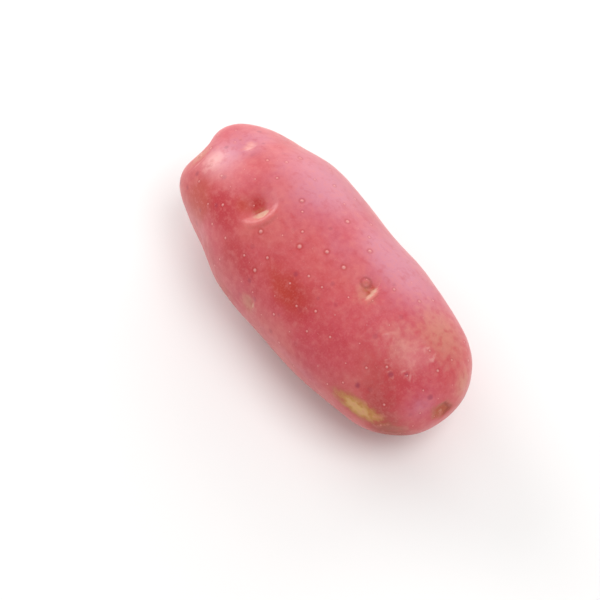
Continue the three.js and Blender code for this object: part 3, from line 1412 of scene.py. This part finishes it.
    def _fine_marks(
        self, tree: bpy.types.NodeTree, colour: Signal, place: Signal, fray: Signal, grain: Signal
    ) -> Signal:
        """Add the small marks of a grown skin: pale flecks, fine grain and dark freckles.

        Args:
            tree: The tree to add to.
            colour: The colour so far.
            place: The coordinates that patterns read.
            fray: Noise of a few millimetres.
            grain: Noise of half a millimetre.

        Returns:
            The colour.
        """
        flecks = (
            (self.pale, fray, 0.5, 0.78, 0.5),
            (self.crimson, fray, 0.48, 0.25, 0.4),
            (self.pale, grain, 0.5, 0.75, 0.2),
        )
        colour = self._stain(tree, colour, flecks)
        spread = {"Vector": place, "Scale": 1.0 / self.freckle_size}
        cells = add_node(tree, "ShaderNodeTexVoronoi", {}, spread)
        tone = add_node(tree, "ShaderNodeSeparateColor", {}, {0: cells.outputs["Color"]})
        present = {"Value": tone, "From Min": 0.55, "From Max": 1.0, "To Max": 0.5}
        amount = add_node(tree, "ShaderNodeMapRange", {}, present)
        round_mark = {
            "Value": cells.outputs["Distance"],
            "From Min": 0.08,
            "From Max": 0.24,
            "To Min": 1.0,
            "To Max": 0.0,
        }
        shape = add_node(tree, "ShaderNodeMapRange", {"interpolation_type": "SMOOTHSTEP"}, round_mark)
        share = add_node(tree, "ShaderNodeMath", {"operation": "MULTIPLY"}, {0: amount, 1: shape})
        return self._lay_over(tree, colour, self.freckle, share)

    def _lenticels(self, tree: bpy.types.NodeTree, colour: Signal) -> tuple[Signal, Signal]:
        """Paint each lenticel's dark ring, partly painted shade in its dent, and its pale dot, partly a
        painted highlight.

        Args:
            tree: The tree to add to.
            colour: The colour so far.

        Returns:
            The colour, and the height of the dots for bump.
        """
        offset = add_node(tree, "ShaderNodeAttribute", {"attribute_name": SPOT_OFFSET}).outputs["Vector"]
        size = add_node(tree, "ShaderNodeAttribute", {"attribute_name": SPOT_SIZE}).outputs["Fac"]
        length = add_node(
            tree, "ShaderNodeVectorMath", {"operation": "LENGTH"}, {0: offset}
        ).outputs["Value"]
        scaled = add_node(tree, "ShaderNodeMath", {"operation": "DIVIDE"}, {0: length, 1: size})
        fades = (
            (0.55 * self.ring_radius, 1.25 * self.ring_radius, self.ring_strength),
            (0.35 * self.dot_radius, 1.15 * self.dot_radius, 1.0),
        )
        ring, dot = (
            add_node(
                tree,
                "ShaderNodeMapRange",
                {"interpolation_type": "SMOOTHSTEP"},
                {"Value": scaled, "From Min": whole, "From Max": gone, "To Min": most, "To Max": 0.0},
            )
            for whole, gone, most in fades
        )
        # Partly painted shade: deep red in each lenticel's shallow ring.
        red = add_node(tree, "ShaderNodeMath", {"operation": "MULTIPLY"}, {0: ring, 1: size})
        colour = self._lay_over(tree, colour, self.deep_red, red)
        # Partly a painted highlight: the pale dot.
        pale = add_node(tree, "ShaderNodeMath", {"operation": "MULTIPLY"}, {0: dot, 1: self.dot_strength})
        return self._lay_over(tree, colour, self.dot, pale), dot


@dataclass
class Tuber:
    """The potato itself: one grown piece, with its skin, eyes, scars and lenticels.

    Args:
        cad_node: The CAD node that it covers and replaces.
        body: The body that it rides on.
        slot: The record's material slot that its finish belongs to. It is not used.
        laying: How the skin is laid.
        swells: The slight swells and hollows.
        eyes: The eyes.
        patches: The patches of other colour and of painted light and shade.
        nicks: The healed nicks.
        scar: The scar of the stolon.
        lenticels: The lenticels.
        finish: The skin's material.
    """

    cad_node: str = "potato"
    body: str = "root"
    slot: str = "red_skin"
    laying: SkinLaying = field(default_factory=SkinLaying)
    swells: tuple[Swell, ...] = SWELLS
    eyes: tuple[Eye, ...] = EYES
    patches: tuple[Patch, ...] = PATCHES
    nicks: tuple[RingMark, ...] = NICKS
    scar: StolonScar = StolonScar()
    lenticels: LenticelScatter = LenticelScatter()
    finish: WashedPotatoSkin = WashedPotatoSkin()

    def build(self) -> bpy.types.Object:
        """Build and dress the tuber.

        Returns:
            The finished object.
        """
        skin = self.laying.lay(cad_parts[self.cad_node])
        for swell in self.swells:
            swell.shape(skin)
        for patch in self.patches:
            patch.paint(skin)
            log.debug("painted the %s", patch.name)
        for eye in self.eyes:
            eye.shape(skin)
            log.info("shaped the %s", eye.name)
        for nick in self.nicks:
            nick.shape(skin)
        self.scar.shape(skin)
        piece = self._object(skin)
        piece.data = self.lenticels.add_to(piece, skin, self.finish.material())
        self._rest_on_floor(piece.data)
        piece.data.name = piece.name
        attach(piece, self.body)
        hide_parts(self.cad_node)
        return piece

    def _object(self, skin: Skin) -> bpy.types.Object:
        """Turn the shaped skin into an object with its masks as attributes.

        Args:
            skin: The shaped skin.

        Returns:
            The object.
        """
        mesh = bpy.data.meshes.new("tuber")
        mesh.from_pydata(skin.points.tolist(), [], skin.quads.tolist())
        for mask, values in skin.masks.items():
            attribute = mesh.attributes.new(mask.value, "FLOAT", "POINT")
            attribute.data.foreach_set("value", values.astype(np.float32))
        no_lenticels_below, most_lenticels_above = 1.5 * MM, 6 * MM
        density = smooth_step(skin.points[:, 2], no_lenticels_below, most_lenticels_above)
        attribute = mesh.attributes.new(SPOT_DENSITY, "FLOAT", "POINT")
        attribute.data.foreach_set("value", density.astype(np.float32))
        piece = bpy.data.objects.new("tuber", mesh)
        bpy.context.scene.collection.objects.link(piece)
        return piece

    def _rest_on_floor(self, mesh: bpy.types.Mesh) -> None:
        """Keep the flat spot level: nothing reaches below the resting plane.

        Args:
            mesh: The finished mesh.
        """
        points = np.empty(len(mesh.vertices) * 3, np.float32)
        mesh.vertices.foreach_get("co", points)
        points = points.reshape(-1, 3)
        points[:, 2] = np.maximum(points[:, 2], 0.0)
        mesh.vertices.foreach_set("co", points.ravel())
        mesh.update()


@dataclass(frozen=True)
class StudioFloor:
    """A plain pale floor: matt white paint on a smooth board.

    Args:
        half_width: How far it reaches to each side.
        colour: The paint's sRGB hex colour.
        roughness: The paint's roughness.
    """

    half_width: float = 3.0
    colour: str = "#f7f6f5"
    roughness: float = 0.7

    def build(self) -> bpy.types.Object:
        """Build the floor at the resting plane.

        Returns:
            The floor.
        """
        reach = self.half_width
        mesh = bpy.data.meshes.new("floor")
        corners = [(-reach, -reach, 0.0), (reach, -reach, 0.0), (reach, reach, 0.0), (-reach, reach, 0.0)]
        mesh.from_pydata(corners, [], [(0, 1, 2, 3)])
        mesh.materials.append(self._paint())
        floor = bpy.data.objects.new("floor", mesh)
        bpy.context.scene.collection.objects.link(floor)
        return floor

    def _paint(self) -> bpy.types.Material:
        """The floor's paint.

        Returns:
            The material.
        """
        material = bpy.data.materials.new("matt_white_paint")
        material.use_nodes = True
        tree = material.node_tree
        tree.nodes.clear()
        inputs = {"Base Color": linear_colour(self.colour), "Roughness": self.roughness}
        paint = add_node(tree, "ShaderNodeBsdfPrincipled", {}, inputs)
        add_node(tree, "ShaderNodeOutputMaterial", {}, {"Surface": paint})
        return material


@dataclass(frozen=True)
class SoftLight:
    """A square soft light that shines at the tuber.

    Args:
        name: What to call it.
        azimuth: The side that it stands on, in degrees: 0 at -Y, 90 at +X.
        elevation: How high it stands, in degrees above the floor.
        distance: How far it stands from the tuber.
        side: Its width and height.
        power: Its power in watts.
        colour: Its sRGB hex colour.
    """

    name: str
    azimuth: float
    elevation: float
    distance: float
    side: float
    power: float
    colour: str = "#ffffff"

    def build(self, target: Vector) -> None:
        """Place the light.

        Args:
            target: The point that it shines at.
        """
        data = bpy.data.lights.new(self.name, "AREA")
        data.shape = "SQUARE"
        data.size = self.side
        data.energy = self.power
        data.color = linear_colour(self.colour)[:3]
        light = bpy.data.objects.new(self.name, data)
        towards = direction(self.azimuth, self.elevation)
        light.location = target + towards * self.distance
        light.rotation_mode = "QUATERNION"
        light.rotation_quaternion = (-towards).to_track_quat("-Z", "Y")
        bpy.context.scene.collection.objects.link(light)


def direction(azimuth: float, elevation: float) -> Vector:
    """The direction from the tuber towards something that stands round it.

    Args:
        azimuth: Degrees round the tuber: 0 at -Y, 90 at +X.
        elevation: Degrees above the floor.

    Returns:
        The direction, of length 1.
    """
    side, height = math.radians(azimuth), math.radians(elevation)
    flat = math.cos(height)
    return Vector((math.sin(side) * flat, -math.cos(side) * flat, math.sin(height)))


@dataclass(frozen=True)
class Studio:
    """The plain pale studio round the tuber.

    Args:
        surroundings: The sRGB hex colour of the walls' glow.
        surroundings_strength: How bright it is.
        lights: The lights that stand round the tuber.
    """

    surroundings: str = "#ffffff"
    surroundings_strength: float = 0.54
    lights: tuple[SoftLight, ...] = (
        SoftLight("key light", -86, 24, 1.2, 0.74, 6.2),
        SoftLight("glint light", -87, 23, 1.2, 0.34, 0.8),
        SoftLight("back light", 210, 18, 1.5, 1.4, 9.2),
        SoftLight("top light", 112, 66, 1.5, 0.9, 9.5),
    )

    def build(self, target: Vector) -> None:
        """Light the studio.

        Args:
            target: The point that the lights shine at.
        """
        world = bpy.data.worlds.new("studio")
        world.use_nodes = True
        tree = world.node_tree
        tree.nodes.clear()
        inputs = {"Color": linear_colour(self.surroundings), "Strength": self.surroundings_strength}
        glow = add_node(tree, "ShaderNodeBackground", {}, inputs)
        add_node(tree, "ShaderNodeOutputWorld", {}, {"Surface": glow})
        bpy.context.scene.world = world
        for light in self.lights:
            light.build(target)


@dataclass(frozen=True)
class StudioCamera:
    """The camera, looking down at the tuber from beside its stolon end.

    Args:
        azimuth: Degrees round the tuber: 0 at -Y, 90 at +X.
        elevation: Degrees above the floor.
        distance: How far it stands from the tuber.
        slide_left: How far it is slid to its own left.
        slide_down: How far it is slid down its own picture.
        lens: Its focal length in millimetres.
    """

    azimuth: float = 53.76
    elevation: float = 60.0
    distance: float = 504 * MM
    slide_left: float = 6.2 * MM
    slide_down: float = 7.5 * MM
    lens: float = 100.0

    def build(self, target: Vector) -> None:
        """Place the camera and make it the scene's own.

        Args:
            target: The point that it would centre without its slides.
        """
        data = bpy.data.cameras.new("camera")
        data.lens = self.lens
        camera = bpy.data.objects.new("camera", data)
        back = direction(self.azimuth, self.elevation)
        right = direction(self.azimuth + 90, 0)
        up = back.cross(right)
        camera.location = target + back * self.distance - right * self.slide_left - up * self.slide_down
        camera.rotation_mode = "QUATERNION"
        camera.rotation_quaternion = (-back).to_track_quat("-Z", "Y")
        bpy.context.scene.collection.objects.link(camera)
        bpy.context.scene.camera = camera


def main() -> None:
    """Build the tuber and its studio."""
    logging.basicConfig(level=logging.INFO, format="%(name)s: %(message)s")
    bpy.context.scene.view_settings.view_transform = "Standard"
    low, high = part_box("potato")
    target = Vector((0.0, 0.0, (low.z + high.z) / 2))
    StudioCamera().build(target)
    Studio().build(target)
    StudioFloor().build()
    piece = Tuber().build()
    log.info("built %s with %d faces", piece.name, len(piece.data.polygons))


if __name__ == "__main__":
    main()
